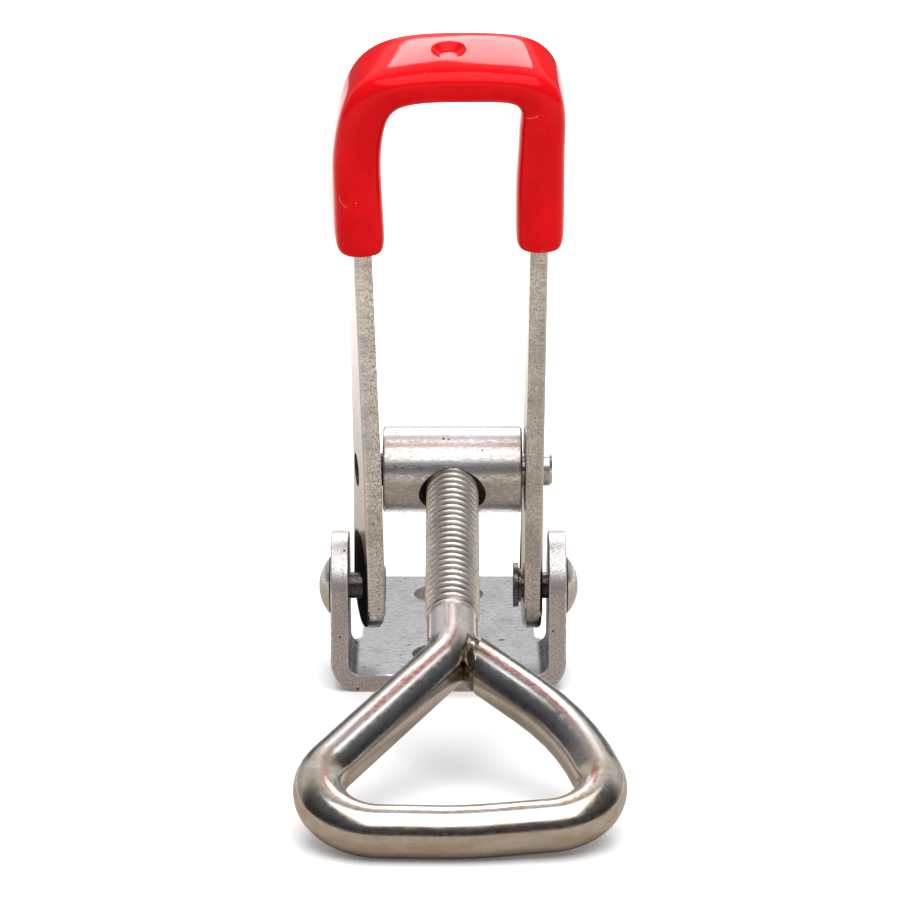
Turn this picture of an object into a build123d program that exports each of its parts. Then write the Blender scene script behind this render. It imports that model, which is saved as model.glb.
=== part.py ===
"""Over centre toggle latch: folded bracket, dipped handle, cross barrel and threaded wire hook.

Millimetres.  X runs across the latch, -Y points from the bracket to the hook's bar, +Z leaves
the mounting face.  The origin lies on the mounting face, midway between the two mounting holes.
The latch stands open: the handle leans a little forwards and the hook's bar rests on the surface
that the bracket is fixed to.
"""

from build123d import *
from math import asin, atan2, cos, hypot, pi, radians, remainder, sin, tan
import os

os.makedirs("parts", exist_ok=True)

# Bracket, folded from one sheet
sheet = 2.0
base_width = 26.6
tail_width = 20.0
bend_inner_radius = 0.8
edge_round = 0.25
hole_diameter = 8.4
hole_spacing = 24.0
front_margin = 8.0
rear_margin = 7.5
tail_corner_radius = 2.5
ear_depth = 12.5
pivot_height = 10.75
relief_setback = 1.2
relief_radius = 1.2

# Rivets, one through each ear, each holding one leg of the handle
rivet_diameter = 3.0
rivet_clearance = 0.05
rivet_head_diameter = 6.4
rivet_head_height = 1.45
clinch_step = 0.7
clinch_thickness = 0.35
clinch_gap = 0.1
neck_step = 0.45
neck_length = 0.3
flare_step = 0.62
flare_thickness = 0.6

# Handle, one strip bent to an arch with two legs
strip = 2.0
strip_width = 9.7
arch_height = 63.2
arch_left_radius = 6.0
arch_right_radius = 3.5
arch_drop = 9.5
handle_lean = 10.0
hang_hole_diameter = 4.0
barrel_rise = 13.9
barrel_setback = 1.4
left_foot_inset = 2.3
left_barrel_splay = 0.12
left_grip_splay = 0.8
left_spring_splay = 1.0
left_foot_twist = 10.5
left_barrel_twist = 9.0
left_grip_twist = 6.0
right_foot_inset = 1.9
right_barrel_splay = 0.1
right_grip_splay = 0.45
right_spring_splay = 0.55
right_foot_twist = 2.2
right_barrel_twist = 1.0

# Grip, a soft coating dipped over the top of the handle
grip_depth = 20.2
coat = 1.3
coat_inside = 1.1
coat_corner_radius = 1.8
coat_lip = 0.8
dimple_depth = 0.45

# Cross barrel with a turned pin at each end
barrel_diameter = 9.8
barrel_end_gap = 0.16
barrel_chamfer = 0.4
pin_diameter = 3.7
pin_clearance = 0.05
left_pin_recess = 0.4
right_pin_stand = 1.2
pin_chamfer = 0.3
mouth_flare = 0.75
mouth_depth = 0.9

# Hook, one wire with a threaded shank, bent to a closed loop
wire_diameter = 5.4
thread_height = 0.25
thread_clearance = 0.05
thread_length = 28.3
thread_runout = 1.0
thread_end_chamfer = 0.6
loop_start = 34.0
loop_bend_radius = 6.4
left_corner_x = -19.0
left_corner_reach = 27.7
bar_middle_x = 1.1
bar_middle_reach = 28.2
bar_bow_radius = 40.0
right_corner_x = 16.6
right_corner_reach = 26.3
right_bend_radius = 5.9
arm_knee_x = 12.8
arm_knee_reach = 12.7
arm_knee_radius = 30.0
butt_setback = 1.5
butt_gap = 0.7
butt_drop = 0.8
butt_tilt = 9.5
weld_diameter = 3.2
weld_length = 7.0
weld_lift = 2.9
weld_offset = 2.3
weld_tilt = 12.0
weld_chamfer = 0.9

smallest_fillet = 0.2
beyond = 1.0

# Places that follow from the sizes above
front_y = -hole_spacing / 2 - front_margin
rear_y = hole_spacing / 2 + rear_margin
base_length = rear_y - front_y
pivot_y = front_y + ear_depth / 2
ear_radius = ear_depth / 2
ear_top = pivot_height + ear_radius
ear_inner_x = base_width / 2 - sheet

lean = radians(handle_lean)
handle_up = (0, -sin(lean), cos(lean))
handle_back = (0, cos(lean), sin(lean))
pivot = (0, pivot_y, pivot_height)
leg_plane = Plane(origin=pivot, x_dir=(1, 0, 0), z_dir=handle_up)
arch_plane = Plane(origin=pivot, x_dir=(1, 0, 0), z_dir=(0, -cos(lean), -sin(lean)))
side_plane = Plane(origin=pivot, x_dir=handle_back, z_dir=(1, 0, 0))

barrel_y = pivot_y - barrel_rise * sin(lean) + barrel_setback * cos(lean)
barrel_z = pivot_height + barrel_rise * cos(lean) + barrel_setback * sin(lean)
barrel_radius = barrel_diameter / 2
pin_radius = pin_diameter / 2
rivet_radius = rivet_diameter / 2
neck_radius = rivet_radius + neck_step

wire_radius = wire_diameter / 2
thread_radius = wire_radius + thread_height
bore_radius = thread_radius + thread_clearance

left_foot_x = left_foot_inset - ear_inner_x
right_foot_x = ear_inner_x - right_foot_inset
arch_spring_height = arch_height - arch_drop
grip_foot_height = arch_height - grip_depth


def between(stations, height):
    """Centre and twist of a leg at a height above the pivot, read between its stations."""
    for lower, upper in zip(stations, stations[1:]):
        if height <= upper[0]:
            break
    share = (height - lower[0]) / (upper[0] - lower[0])
    centre = lower[1] + share * (upper[1] - lower[1])
    twist = lower[2] + share * (upper[2] - lower[2])
    return centre, twist


# Each leg's stations: height above the pivot, centre across the latch, twist about the leg
left_leg = [
    (-strip_width / 2, left_foot_x, left_foot_twist),
    (barrel_rise, left_foot_x - left_barrel_splay, left_barrel_twist),
    (grip_foot_height, left_foot_x - left_grip_splay, left_grip_twist),
    (arch_spring_height, left_foot_x - left_spring_splay, 0),
]
right_leg = [
    (-strip_width / 2, right_foot_x, right_foot_twist),
    (barrel_rise, right_foot_x + right_barrel_splay, right_barrel_twist),
    (grip_foot_height, right_foot_x + right_grip_splay, 0),
    (arch_spring_height, right_foot_x + right_spring_splay, 0),
]


def leg_face(stations, height, setback, offset):
    """Where a face of the twisted leg lies across the latch, offset from its centre plane."""
    centre, twist = between(stations, height)
    return centre - setback * sin(radians(twist)) / cos(radians(twist)) + offset / cos(radians(twist))


# ---------------------------------------------------------------- bracket
# One folded sheet: a floor with two mounting holes and two round-topped ears at its front.
front_plane = Plane(origin=(0, front_y, 0), x_dir=(1, 0, 0), z_dir=(0, -1, 0))
ledge_y = front_y + ear_depth + relief_setback
with BuildPart() as base_bracket:
    with BuildSketch(front_plane) as channel:
        with Locations((0, ear_top / 2)):
            Rectangle(base_width, ear_top)
        fillet(channel.vertices().group_by(Axis.Y)[0], bend_inner_radius + sheet)
        with BuildSketch(front_plane, mode=Mode.PRIVATE) as trough:
            with Locations((0, sheet + ear_top / 2)):
                Rectangle(2 * ear_inner_x, ear_top)
            fillet(trough.vertices().group_by(Axis.Y)[0], bend_inner_radius)
        add(trough.sketch, mode=Mode.SUBTRACT)
    extrude(amount=-base_length)
    with BuildSketch(Plane.YZ) as ear_waste:
        with Locations(((front_y + rear_y) / 2, sheet + ear_top / 2)):
            Rectangle(base_length + 2 * beyond, ear_top)
        with Locations((pivot_y, (sheet + pivot_height) / 2)):
            Rectangle(ear_depth, pivot_height - sheet, mode=Mode.SUBTRACT)
        with Locations((pivot_y, pivot_height)):
            Circle(ear_radius, mode=Mode.SUBTRACT)
        with Locations((front_y - beyond / 2, ear_top / 2)):
            Rectangle(beyond, 2 * ear_top, mode=Mode.SUBTRACT)
    extrude(amount=base_width, both=True, mode=Mode.SUBTRACT)
    with BuildSketch(Plane.XY) as relief:
        for side in (-1, 1):
            with Locations((side * (tail_width / 2 + base_width / 4), (ledge_y + rear_y + beyond) / 2)):
                Rectangle(base_width / 2, rear_y + beyond - ledge_y)
        inner_corners = relief.vertices().group_by(Axis.Y)[0].sort_by(Axis.X)[1:3]
        fillet(inner_corners, relief_radius)
    extrude(amount=ear_top, mode=Mode.SUBTRACT)
    fillet(base_bracket.edges().filter_by(Axis.Z).group_by(Axis.Y)[-1], tail_corner_radius)
    with BuildSketch(Plane.XY):
        with GridLocations(0, hole_spacing, 1, 2):
            Circle(hole_diameter / 2)
    extrude(amount=sheet, mode=Mode.SUBTRACT)
    with BuildSketch(Plane.YZ):
        with Locations((pivot_y, pivot_height)):
            Circle(rivet_diameter / 2)
    extrude(amount=base_width, both=True, mode=Mode.SUBTRACT)
base_bracket.part.label = "base_bracket"
export_step(base_bracket.part, "parts/base_bracket.step")

# ---------------------------------------------------------------- rivets
# Each has a low domed head outside the ear.  The left one is clinched close to its leg, the
# right one ends in a wider flare that stands off the leg on a short neck.


def rivet_profile(side, steps):
    """Half section of a rivet: the domed head outside the ear, then its steps towards the leg."""
    ball = (rivet_head_height**2 + (rivet_head_diameter / 2) ** 2) / (2 * rivet_head_height)
    halfway = rivet_head_diameter / 4
    sag = ball - (ball**2 - halfway**2) ** 0.5
    crown_x = base_width / 2 + rivet_head_height
    rim = (side * base_width / 2, rivet_head_diameter / 2)
    hole = (side * base_width / 2, rivet_radius)
    with BuildLine(mode=Mode.PRIVATE) as outline:
        ThreePointArc((side * crown_x, 0), (side * (crown_x - sag), halfway), rim)
        Polyline(rim, hole, *steps, (side * crown_x, 0))
    return outline.line


clinch_radius = rivet_radius + clinch_step
left_seat_x = leg_face(left_leg, 0, -clinch_radius, strip / 2) + clinch_gap
clinch_x = left_seat_x + clinch_thickness
rivet_plane = Plane(origin=(0, pivot_y, pivot_height), x_dir=(1, 0, 0), z_dir=(0, -1, 0))
rivet_axis = Axis(rivet_plane.origin, (1, 0, 0))

left_steps = [
    (left_seat_x, rivet_radius),
    (left_seat_x, clinch_radius),
    (clinch_x, clinch_radius),
    (clinch_x, 0),
]
with BuildPart() as left_rivet:
    with BuildSketch(rivet_plane):
        with BuildLine():
            add(rivet_profile(-1, left_steps))
        make_face()
    revolve(axis=rivet_axis)
left_rivet.part.label = "left_rivet"
export_step(left_rivet.part, "parts/left_rivet.step")

right_seat_x = leg_face(right_leg, 0, neck_radius, -strip / 2) - clinch_gap
flare_x = right_seat_x - neck_length
flare_end_x = flare_x - flare_thickness
flare_radius = neck_radius + flare_step
right_steps = [
    (right_seat_x, rivet_radius),
    (right_seat_x, neck_radius),
    (flare_x, neck_radius),
    (flare_x, flare_radius),
    (flare_end_x, flare_radius),
    (flare_end_x, 0),
]
with BuildPart() as right_rivet:
    with BuildSketch(rivet_plane):
        with BuildLine():
            add(rivet_profile(1, right_steps))
        make_face()
    revolve(axis=rivet_axis)
right_rivet.part.label = "right_rivet"
export_step(right_rivet.part, "parts/right_rivet.step")

# ---------------------------------------------------------------- handle
# One strip: a square-shouldered arch, and two legs that twist a little on their way down.
outer_left_x = left_leg[-1][1] - strip / 2
outer_right_x = right_leg[-1][1] + strip / 2


def arch_outline(outside, inside):
    """The arch seen along its plane, thickened by so much outside and inside the strip."""
    left = outer_left_x - outside
    right = outer_right_x + outside
    top = arch_height + outside
    foot = arch_spring_height
    inner_left = outer_left_x + strip + inside
    inner_right = outer_right_x - strip - inside
    inner_top = arch_height - strip - inside
    outer_radii = [arch_left_radius + strip + outside, arch_right_radius + strip + outside]
    inner_radii = [
        max(arch_right_radius - inside, smallest_fillet),
        max(arch_left_radius - inside, smallest_fillet),
    ]
    with BuildSketch(mode=Mode.PRIVATE) as outline:
        with BuildLine():
            FilletPolyline((left, foot), (left, top), (right, top), (right, foot), radius=outer_radii)
            Line((right, foot), (inner_right, foot))
            FilletPolyline(
                (inner_right, foot),
                (inner_right, inner_top),
                (inner_left, inner_top),
                (inner_left, foot),
                radius=inner_radii,
            )
            Line((inner_left, foot), (left, foot))
        make_face()
    return outline.sketch


with BuildPart() as handle_frame:
    with BuildSketch(arch_plane):
        add(arch_outline(0, 0))
    extrude(amount=strip_width / 2, both=True)
    for stations in (left_leg, right_leg):
        for height, centre, twist in stations:
            with BuildSketch(leg_plane.offset(height)):
                with Locations((centre, 0)):
                    Rectangle(strip, strip_width, rotation=twist)
        loft(ruled=True)
    with BuildSketch(side_plane) as foot_waste:
        with Locations((0, -strip_width / 2)):
            Rectangle(2 * strip_width, strip_width + 2 * beyond)
        Circle(strip_width / 2, mode=Mode.SUBTRACT)
        with Locations((0, strip_width / 2)):
            Rectangle(2 * strip_width, strip_width, mode=Mode.SUBTRACT)
    extrude(amount=base_width, both=True, mode=Mode.SUBTRACT)
    with BuildSketch(side_plane):
        Circle(rivet_radius + rivet_clearance)
        with Locations((barrel_setback, barrel_rise)):
            Circle(pin_radius + pin_clearance)
    extrude(amount=base_width, both=True, mode=Mode.SUBTRACT)
    with BuildSketch(leg_plane.offset(arch_height - 2 * strip)):
        with Locations(((outer_left_x + outer_right_x) / 2, 0)):
            Circle(hang_hole_diameter / 2)
    extrude(amount=4 * strip, mode=Mode.SUBTRACT)
handle_frame.part.label = "handle_frame"
export_step(handle_frame.part, "parts/handle_frame.step")

# ---------------------------------------------------------------- grip
# A thick soft skin that follows the strip, with rounded edges, a rounded lip round each leg and
# a dimple where it closes the hang hole in the arch.
skin_width = strip_width + 2 * coat
skin_thickness = strip + coat + coat_inside


def skin_section(centre, twist, side, inset):
    """The skin's outline round one leg, drawn in by an inset where the lip rounds off."""
    with BuildSketch(mode=Mode.PRIVATE) as outline:
        with Locations(Location((centre, 0, 0), twist)):
            with Locations((side * (coat - coat_inside) / 2, 0)):
                RectangleRounded(
                    skin_thickness - 2 * inset,
                    skin_width - 2 * inset,
                    coat_corner_radius - inset,
                )
    return outline.sketch


with BuildPart() as handle_grip:
    with BuildSketch(arch_plane):
        add(arch_outline(coat, coat_inside))
    extrude(amount=skin_width / 2, both=True)
    outlines = handle_grip.faces().filter_by(Axis(pivot, arch_plane.z_dir)).edges()
    feet = outlines.group_by(Axis(pivot, handle_up))[0]
    fillet(outlines - feet, coat_corner_radius)
    for side, stations in ((-1, left_leg), (1, right_leg)):
        lip_centre, lip_twist = between(stations, grip_foot_height)
        for rise, inset in ((0, coat_lip), (0.3 * coat_lip, 0.3 * coat_lip), (coat_lip, 0)):
            with BuildSketch(leg_plane.offset(grip_foot_height + rise)):
                add(skin_section(lip_centre, lip_twist, side, inset))
        with BuildSketch(leg_plane.offset(arch_spring_height)):
            add(skin_section(stations[-1][1], 0, side, 0))
        loft(ruled=True)
    dimple_x = (outer_left_x + outer_right_x) / 2
    dimple_ball = (dimple_depth**2 + (hang_hole_diameter / 2) ** 2) / (2 * dimple_depth)
    dimple_plane = leg_plane.offset(arch_height + coat - dimple_depth + dimple_ball)
    with Locations(dimple_plane.location * Location((dimple_x, 0, 0))):
        Sphere(dimple_ball, mode=Mode.SUBTRACT)
    add(handle_frame.part, mode=Mode.SUBTRACT)
handle_grip.part.label = "handle_grip"
export_step(handle_grip.part, "parts/handle_grip.step")

# ---------------------------------------------------------------- cross barrel
# A turned bar between the legs.  It turns on the pins at its ends and is bored across for the
# hook's shank, with a countersunk mouth where the shank comes out.
barrel_left_x = leg_face(left_leg, barrel_rise, barrel_setback - barrel_radius, strip / 2) + barrel_end_gap
barrel_right_x = leg_face(right_leg, barrel_rise, strip_width / 2, -strip / 2) - barrel_end_gap
left_pin_x = leg_face(left_leg, barrel_rise, barrel_setback, -strip / 2) + left_pin_recess
right_pin_x = leg_face(right_leg, barrel_rise, barrel_setback, strip / 2) + right_pin_stand
barrel_plane = Plane(origin=(0, barrel_y, barrel_z), x_dir=(1, 0, 0), z_dir=(0, -1, 0))

# The loop's corners, seen square on: distance across the shank, reach along it from the barrel
butt = (0, loop_start - butt_setback)
arm_knee = (arm_knee_x, loop_start + arm_knee_reach)
arm_middle = ((arm_knee[0] + butt[0]) / 2, (arm_knee[1] + butt[1]) / 2)
loop_corners = [
    (0, -barrel_radius),
    (0, loop_start),
    (left_corner_x, loop_start + left_corner_reach),
    (bar_middle_x, loop_start + bar_middle_reach),
    (right_corner_x, loop_start + right_corner_reach),
    arm_knee,
    arm_middle,
]
wanted_radii = [loop_bend_radius, loop_bend_radius, bar_bow_radius, right_bend_radius, arm_knee_radius]


def fitting_radii(corners, radii):
    """The wanted bend radii, made smaller only where two bends' tangents don't fit in their run."""
    steps = [(after[0] - before[0], after[1] - before[1]) for before, after in zip(corners, corners[1:])]
    headings = [atan2(rise, run) for run, rise in steps]
    turns = [abs(remainder(after - before, 2 * pi)) for before, after in zip(headings, headings[1:])]
    tangents = [0, *(radius * tan(turn / 2) for radius, turn in zip(radii, turns)), 0]
    shares = [
        min(1, 0.99 * hypot(*step) / (before + after))
        for step, before, after in zip(steps, tangents, tangents[1:])
    ]
    return [radius * min(before, after) for radius, before, after in zip(radii, shares, shares[1:])]


loop_radii = fitting_radii(loop_corners, wanted_radii)
with BuildLine() as flat_loop:
    FilletPolyline(*loop_corners, radius=loop_radii)
bar_reach = flat_loop.line.bounding_box().max.Y
droop = asin((barrel_z - wire_radius) / bar_reach)
shank_forward = (0, -cos(droop), -sin(droop))
shank_x = (barrel_left_x + barrel_right_x) / 2
shank_start = (shank_x, barrel_y, barrel_z)
hook_plane = Plane(origin=shank_start, x_dir=(1, 0, 0), z_dir=(0, sin(droop), -cos(droop)))
shank_plane = Plane(origin=hook_plane.origin, x_dir=(1, 0, 0), z_dir=shank_forward)

with BuildPart() as cross_barrel:
    with BuildSketch(barrel_plane):
        with BuildLine():
            Polyline(
                (left_pin_x, 0),
                (left_pin_x, pin_radius - pin_chamfer),
                (left_pin_x + pin_chamfer, pin_radius),
                (barrel_left_x, pin_radius),
                (barrel_left_x, barrel_radius - barrel_chamfer),
                (barrel_left_x + barrel_chamfer, barrel_radius),
                (barrel_right_x - barrel_chamfer, barrel_radius),
                (barrel_right_x, barrel_radius - barrel_chamfer),
                (barrel_right_x, pin_radius),
                (right_pin_x - pin_chamfer, pin_radius),
                (right_pin_x, pin_radius - pin_chamfer),
                (right_pin_x, 0),
                close=True,
            )
        make_face()
    revolve(axis=Axis(barrel_plane.origin, (1, 0, 0)))
    with BuildSketch(shank_plane):
        Circle(bore_radius)
    extrude(amount=barrel_diameter, both=True, mode=Mode.SUBTRACT)
    with BuildSketch(shank_plane.offset(barrel_radius)):
        Circle(bore_radius + mouth_flare)
    with BuildSketch(shank_plane.offset(barrel_radius - mouth_depth)):
        Circle(bore_radius)
    loft(mode=Mode.SUBTRACT)
cross_barrel.part.label = "cross_barrel"
export_step(cross_barrel.part, "parts/cross_barrel.step")

# ---------------------------------------------------------------- hook
# One round wire: a straight shank, then a closed three-cornered loop.  The wire's end comes back
# to the shank, where it is cut off at a slant and welded.
with BuildPart() as arm_end:
    with BuildLine(hook_plane) as arm_line:
        Line(arm_middle, butt)
    with BuildSketch(Plane(origin=arm_line.line @ 0, z_dir=arm_line.line % 0)):
        Circle(wire_radius)
    sweep(path=arm_line.line)
    with BuildSketch(hook_plane):
        with Locations(Location((wire_radius + butt_gap, butt[1] - butt_drop), butt_tilt)):
            Rectangle(2 * wire_diameter, 4 * wire_diameter, align=(Align.MAX, Align.CENTER))
    extrude(amount=wire_diameter, both=True, mode=Mode.SUBTRACT)

with BuildPart() as hook:
    with BuildLine(hook_plane) as wire_line:
        FilletPolyline(*loop_corners, radius=loop_radii)
    with BuildSketch(Plane(origin=wire_line.line @ 0, z_dir=wire_line.line % 0)):
        Circle(wire_radius)
    sweep(path=wire_line.line)
    with BuildSketch(hook_plane):
        with BuildLine():
            Polyline(
                (0, -barrel_radius),
                (thread_radius - thread_end_chamfer, -barrel_radius),
                (thread_radius, thread_end_chamfer - barrel_radius),
                (thread_radius, thread_length - thread_runout),
                (wire_radius, thread_length),
                (0, thread_length),
                close=True,
            )
        make_face()
    revolve(axis=Axis(hook_plane.origin, shank_forward))
    add(arm_end.part)
    with BuildSketch(hook_plane) as bead:
        with Locations(Location((weld_offset, butt[1] + weld_lift), weld_tilt)):
            Rectangle(weld_diameter / 2, weld_length, align=(Align.MIN, Align.CENTER))
        chamfer(bead.vertices().sort_by(Axis.X)[2:], weld_chamfer)
    weld_centre = hook_plane.from_local_coords((weld_offset, butt[1] + weld_lift, 0))
    weld_end = hook_plane.from_local_coords(
        (weld_offset - sin(radians(weld_tilt)), butt[1] + weld_lift + cos(radians(weld_tilt)), 0)
    )
    revolve(axis=Axis(weld_centre, weld_end - weld_centre))
hook.part.label = "hook"
export_step(hook.part, "parts/hook.step")
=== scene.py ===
"""Looks of an over centre toggle latch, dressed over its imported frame."""

import math

import bmesh
import bpy
from mathutils import Matrix, Vector


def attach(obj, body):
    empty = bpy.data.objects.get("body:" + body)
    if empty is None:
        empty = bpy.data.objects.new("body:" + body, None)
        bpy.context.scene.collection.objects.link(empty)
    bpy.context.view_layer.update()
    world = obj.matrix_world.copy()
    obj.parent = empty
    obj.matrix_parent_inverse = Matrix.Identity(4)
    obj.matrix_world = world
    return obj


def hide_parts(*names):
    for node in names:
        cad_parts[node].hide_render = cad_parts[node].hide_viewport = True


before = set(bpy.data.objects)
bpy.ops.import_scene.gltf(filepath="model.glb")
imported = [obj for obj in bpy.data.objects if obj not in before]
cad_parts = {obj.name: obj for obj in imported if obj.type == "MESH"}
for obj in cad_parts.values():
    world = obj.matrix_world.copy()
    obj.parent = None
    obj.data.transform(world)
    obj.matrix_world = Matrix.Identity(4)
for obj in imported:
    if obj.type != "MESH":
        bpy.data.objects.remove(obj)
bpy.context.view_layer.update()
mm = 0.001


# ------------------------------------------------------------------ folded bracket
# One piece of 2 mm stainless sheet, blanked and folded up to a channel: a floor with a narrower
# tongue and two round mounting holes, and two round-topped ears at the front that carry the
# handle.  Its rolled faces are smooth, its sheared rims are grey-beige and a little torn.
sheet = 2.0
half_width = 13.3
half_tongue = 10.0
outer_bend = half_width - half_tongue
inner_bend = outer_bend - sheet
front = -20.0
rear = 19.5
ledge = -6.3
ear_rear = -7.5
pivot = Vector((0, -13.75, 10.75))
ear_radius = 6.25
ear_top = pivot.z + ear_radius
tongue_corner = 2.5
ledge_corner = 1.2
hole_radius = 4.2
hole_spacing = 24.0
worn_width = 0.2
eased_width = 0.3
# How far a cutting shape runs past what it cuts, and how near its place a corner has to be
past_sides = 20.0
past_ends = 5.0
past_top = 25.0
drill_length = 50.0
nearly = 0.1


def deselect():
    bpy.ops.object.select_all(action="DESELECT")


def choose(piece):
    """Selects one piece alone and makes it the active one."""
    deselect()
    piece.select_set(True)
    bpy.context.view_layer.objects.active = piece


def block(low, high):
    """A box between two corners, in millimetres."""
    deselect()
    middle = [(a + b) / 2 * mm for a, b in zip(low, high)]
    bpy.ops.mesh.primitive_cube_add(size=1, location=middle)
    box = bpy.context.object
    box.scale = [(b - a) * mm for a, b in zip(low, high)]
    bpy.ops.object.transform_apply(location=True, rotation=True, scale=True)
    return box


def rod(radius, depth, at, turn=(0, 0, 0), sides=96):
    """A round bar of a radius and a length, with its middle at a place and its axis turned."""
    deselect()
    place = [c * mm for c in at]
    bpy.ops.mesh.primitive_cylinder_add(
        vertices=sides, radius=radius * mm, depth=depth * mm, location=place, rotation=turn
    )
    bpy.ops.object.transform_apply(location=True, rotation=True, scale=True)
    return bpy.context.object


def edit(piece, kind="FACE"):
    """Opens a piece for editing, with nothing selected in it."""
    choose(piece)
    bpy.ops.object.mode_set(mode="EDIT")
    bpy.ops.mesh.select_mode(type=kind)
    bpy.ops.mesh.select_all(action="DESELECT")


def leave():
    bpy.ops.object.mode_set(mode="OBJECT")


def pick(kind, test):
    """Selects the corners, edges or faces whose middle passes a test, given in millimetres."""
    bpy.ops.mesh.select_mode(type=kind)
    bpy.ops.mesh.select_all(action="DESELECT")
    mesh = bmesh.from_edit_mesh(bpy.context.object.data)
    for part in {"VERT": mesh.verts, "EDGE": mesh.edges, "FACE": mesh.faces}[kind]:
        if kind == "VERT":
            middle = part.co
        elif kind == "EDGE":
            middle = (part.verts[0].co + part.verts[1].co) / 2
        else:
            middle = part.calc_center_median()
        if test(middle / mm, part):
            part.select_set(True)
    mesh.select_flush_mode()
    bmesh.update_edit_mesh(bpy.context.object.data)


def add_slots(piece, count):
    """Gives a piece empty material slots, which finish_piece fills."""
    for number in range(count):
        piece.data.materials.append(None)


def paint(slot):
    """Gives the selected faces the material that a slot will hold."""
    bpy.context.object.active_material_index = slot
    bpy.ops.object.material_slot_assign()


def along(edge, axis):
    """Whether an edge runs along X, Y or Z, given as 0, 1 or 2."""
    run = edge.verts[0].co - edge.verts[1].co
    return abs(run[axis]) > 0.999 * run.length


def join_shapes(piece, tool, how):
    """Cuts, adds or keeps what another shape covers, and clears that shape away."""
    choose(piece)
    cut = piece.modifiers.new("cut", "BOOLEAN")
    cut.operation = how
    cut.solver = "EXACT"
    cut.object = tool
    bpy.ops.object.modifier_apply(modifier=cut.name)
    bpy.data.objects.remove(tool)


def ease_edges(piece, width):
    """Merges flat neighbours, then rounds every sharp edge."""
    edit(piece)
    bpy.ops.mesh.select_all(action="SELECT")
    bpy.ops.mesh.remove_doubles(threshold=0.00001)
    bpy.ops.mesh.dissolve_limited(angle_limit=math.radians(0.5), delimit={"MATERIAL"})
    leave()
    ease = piece.modifiers.new("ease", "BEVEL")
    ease.width = width * mm
    ease.segments = 3
    ease.limit_method = "ANGLE"
    ease.angle_limit = math.radians(35)
    ease.harden_normals = False
    bpy.ops.object.modifier_apply(modifier=ease.name)


def finish_piece(piece, name, materials, body, smooth=30):
    """Names a piece, smooths it, gives it its materials and puts it in the place of its node."""
    piece.name = name + "_skin"
    piece.data.name = name + "_skin"
    for number, material in enumerate(materials):
        if number < len(piece.data.materials):
            piece.data.materials[number] = material
        else:
            piece.data.materials.append(material)
    choose(piece)
    bpy.ops.object.transform_apply(location=True, rotation=True, scale=True)
    edit(piece)
    bpy.ops.mesh.select_all(action="SELECT")
    bpy.ops.mesh.remove_doubles(threshold=0.000001)
    leave()
    piece.select_set(True)
    bpy.ops.object.shade_smooth_by_angle(angle=math.radians(smooth))
    level_out = piece.modifiers.new("level_out", "WEIGHTED_NORMAL")
    level_out.keep_sharp = True
    level_out.weight = 80
    bpy.ops.object.modifier_apply(modifier=level_out.name)
    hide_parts(name)
    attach(piece, body)


bracket = block((-half_width, front, 0), (half_width, ledge, ear_top))
edit(bracket)
pick("EDGE", lambda at, edge: at.z < nearly and along(edge, 1))
bpy.ops.mesh.bevel(offset=outer_bend * mm, segments=16, affect="EDGES")
leave()
inside = half_width - sheet
trough = block((-inside, front - past_ends, sheet), (inside, ledge + past_ends, past_top))
edit(trough)
pick("EDGE", lambda at, edge: at.z < sheet + nearly and along(edge, 1))
bpy.ops.mesh.bevel(offset=inner_bend * mm, segments=8, affect="EDGES")
leave()
join_shapes(bracket, trough, "DIFFERENCE")
behind_ears = block((-past_sides, ear_rear, sheet), (past_sides, past_ends, past_top))
join_shapes(bracket, behind_ears, "DIFFERENCE")
crown = block((-past_sides, front - past_ends, pivot.z), (past_sides, past_ends, past_top))
join_shapes(crown, rod(ear_radius, drill_length, pivot, (0, math.pi / 2, 0), 128), "DIFFERENCE")
join_shapes(bracket, crown, "DIFFERENCE")
tongue = block((-half_tongue, ledge, 0), (half_tongue, rear, sheet))
edit(tongue)
pick("EDGE", lambda at, edge: at.y > rear - nearly and along(edge, 2))
bpy.ops.mesh.bevel(offset=tongue_corner * mm, segments=10, affect="EDGES")
leave()
join_shapes(bracket, tongue, "UNION")


def beside_tongue(at, edge):
    """The upright edge in each corner between the channel and its tongue."""
    return along(edge, 2) and abs(abs(at.x) - half_tongue) < nearly and abs(at.y - ledge) < nearly


edit(bracket)
bpy.ops.mesh.select_all(action="SELECT")
bpy.ops.mesh.remove_doubles(threshold=0.00001)
bpy.ops.mesh.dissolve_limited(angle_limit=math.radians(0.5))
pick("EDGE", beside_tongue)
bpy.ops.mesh.bevel(offset=ledge_corner * mm, segments=6, affect="EDGES")
leave()
for hole_y in (-hole_spacing / 2, hole_spacing / 2):
    join_shapes(bracket, rod(hole_radius, 5 * sheet, (0, hole_y, 0)), "DIFFERENCE")


def is_rim(at, face):
    """The blank's sheared edge: front and rear, the ears' outlines, the tongue's sides, the holes."""
    if abs(face.normal.y) > 0.9:
        return True
    if at.z > sheet + 0.05 and abs(at.x) > inside - nearly:
        return abs(face.normal.x) < 0.3 and abs(face.normal.y) > 0.05 or face.normal.z > 0.7
    return abs(face.normal.z) < 0.3 and abs(at.x) < half_tongue + ledge_corner + nearly


def is_worn(at, edge):
    """The corners round the channel's front end, and on over the ears."""
    on_side = min(abs(abs(at.x) - half_width), abs(abs(at.x) - inside)) < 0.01
    if along(edge, 0):
        return at.y < front + 0.001 and at.z < sheet + nearly
    return at.y < front + 0.001 or on_side and at.z > pivot.z and at.y < ear_rear


add_slots(bracket, 3)
edit(bracket)
pick("FACE", is_rim)
paint(1)
# These corners are rounded and take the lighter edge steel, partly a painted highlight.
pick("EDGE", is_worn)
bpy.ops.mesh.bevel(offset=worn_width * mm, segments=2, affect="EDGES", material=2)
leave()
ease_edges(bracket, eased_width)


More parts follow.
